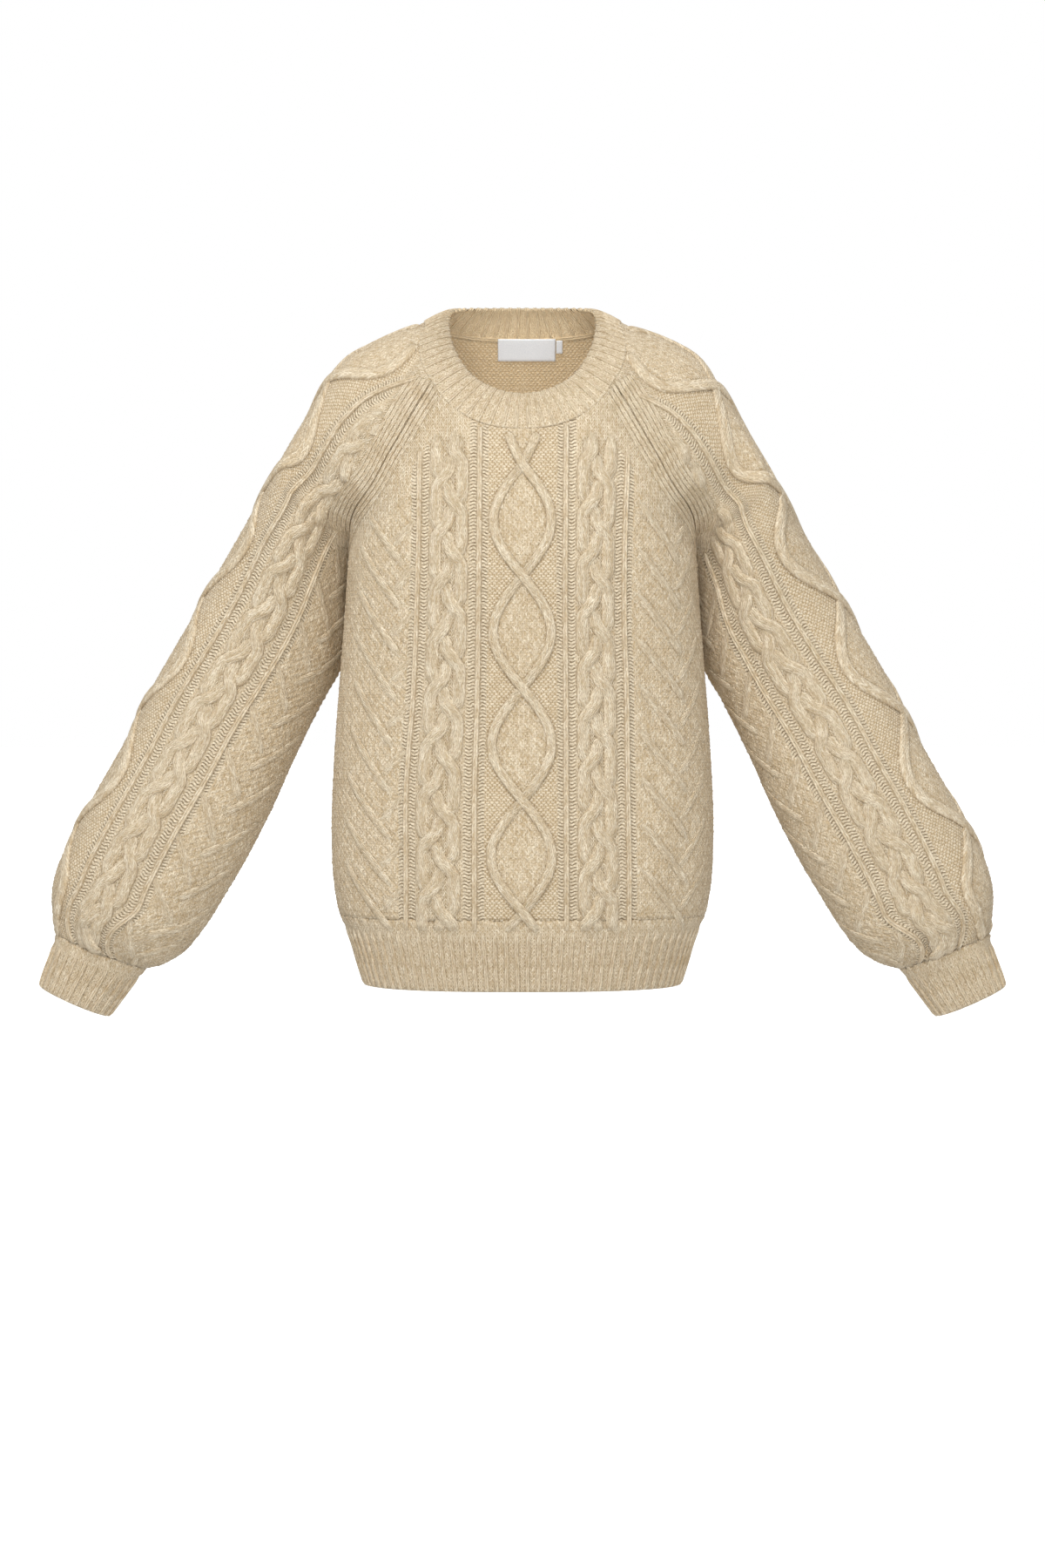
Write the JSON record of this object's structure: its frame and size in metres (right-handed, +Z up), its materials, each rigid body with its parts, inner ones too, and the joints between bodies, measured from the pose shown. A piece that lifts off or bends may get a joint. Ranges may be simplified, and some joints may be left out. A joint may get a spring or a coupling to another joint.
{
  "type": "cable-knit sweater",
  "caption": "Hollow knitted raglan sweater in its worn form, with cables, a ribbed crew neck, full sleeves and ribbed cuffs and hem, for keeping a wearer warm.",
  "frame": {"origin": "inside the neck, level with the base of the neck, where the wearer's neck and shoulders hold the sweater up", "axes": "+X to the wearer's left, across the spread sleeves; -Y to the front; +Z up"},
  "size_m": [0.912, 0.2393, 0.6748],
  "materials": {
    "cable_knit": "heathered cream and tan wool, cable knit, soft nap",
    "rib_knit": "the same wool in one-by-one rib",
    "woven_label": "plain white woven label, left blank"
  },
  "bodies": {
    "root": {"front_panel": "cable_knit", "back_panel": "cable_knit", "sleeve_left": "cable_knit", "sleeve_right": "cable_knit", "neck_rib": "rib_knit", "hem_rib_front": "rib_knit", "hem_rib_back": "rib_knit", "cuff_left": "rib_knit", "cuff_right": "rib_knit", "neck_label": "woven_label", "size_tab": "woven_label"}
  },
  "joints": []
}
